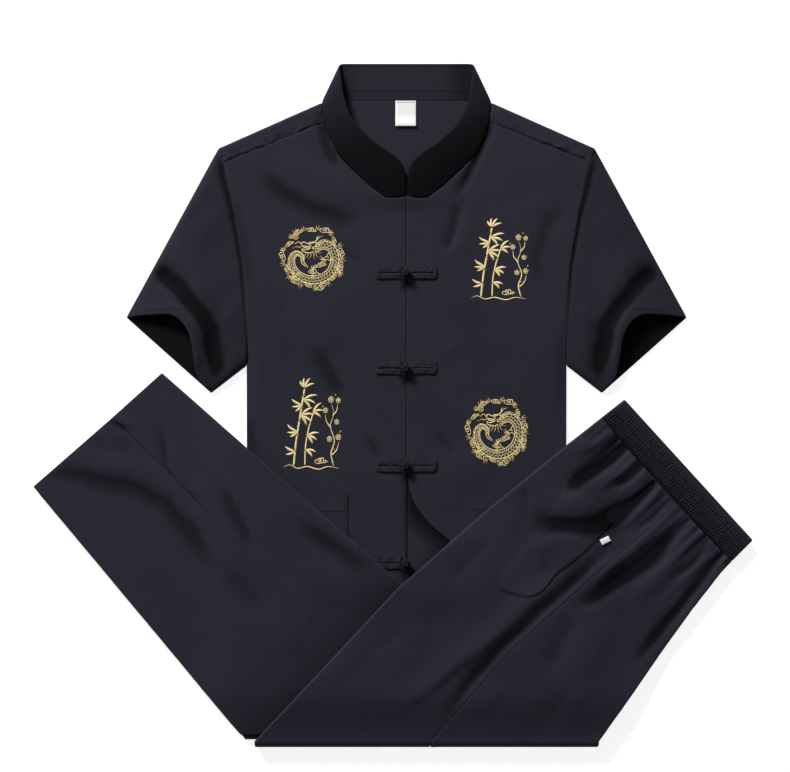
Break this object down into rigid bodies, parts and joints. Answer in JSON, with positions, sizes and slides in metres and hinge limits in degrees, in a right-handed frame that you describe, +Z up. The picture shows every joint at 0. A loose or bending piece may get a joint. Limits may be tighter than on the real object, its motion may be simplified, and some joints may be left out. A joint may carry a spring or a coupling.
{
  "type": "tang suit",
  "caption": "Two-piece suit laid flat: short-sleeved jacket with stand collar and frog closures, under elastic-waist trousers folded across it.",
  "frame": {"origin": "middle of the whole suit's outline, on the surface that it lies on", "axes": "+Z up from the surface, +Y towards the collar, +X towards the wearer's left, the right of a viewer who looks down with the collar at the top"},
  "size_m": [0.9004, 0.8551, 0.0259],
  "materials": {
    "jacket_cloth": "matt fine woven cloth, near-black navy",
    "trouser_cloth": "matt fine woven cloth, near-black navy",
    "frog_cord": "self-coloured rolled cloth cord with a soft sheen",
    "label_cloth": "smooth white woven tape, blank"
  },
  "bodies": {
    "root": {"jacket_back": "jacket_cloth", "jacket_right_shoulder": "jacket_cloth", "jacket_left_shoulder": "jacket_cloth", "jacket_right_front": "jacket_cloth", "jacket_left_front": "jacket_cloth", "jacket_right_sleeve": "jacket_cloth", "jacket_left_sleeve": "jacket_cloth", "jacket_collar": "jacket_cloth", "neck_label": "label_cloth", "jacket_right_pocket": "jacket_cloth", "jacket_left_pocket": "jacket_cloth", "frog_1_right_strap": "frog_cord", "frog_1_left_strap": "frog_cord", "frog_1_knot": "frog_cord", "frog_2_right_strap": "frog_cord", "frog_2_left_strap": "frog_cord", "frog_2_knot": "frog_cord", "frog_3_right_strap": "frog_cord", "frog_3_left_strap": "frog_cord", "frog_3_knot": "frog_cord", "frog_4_right_strap": "frog_cord", "frog_4_knot": "frog_cord", "trousers_hidden_layers": "trouser_cloth", "trousers_lower_back_panel": "trouser_cloth", "trousers_lower_front_panel": "trouser_cloth", "trousers_upper_back_panel": "trouser_cloth", "trousers_upper_front_panel": "trouser_cloth", "trousers_waistband": "trouser_cloth", "trousers_pocket": "trouser_cloth", "trousers_tag": "label_cloth"}
  },
  "joints": []
}
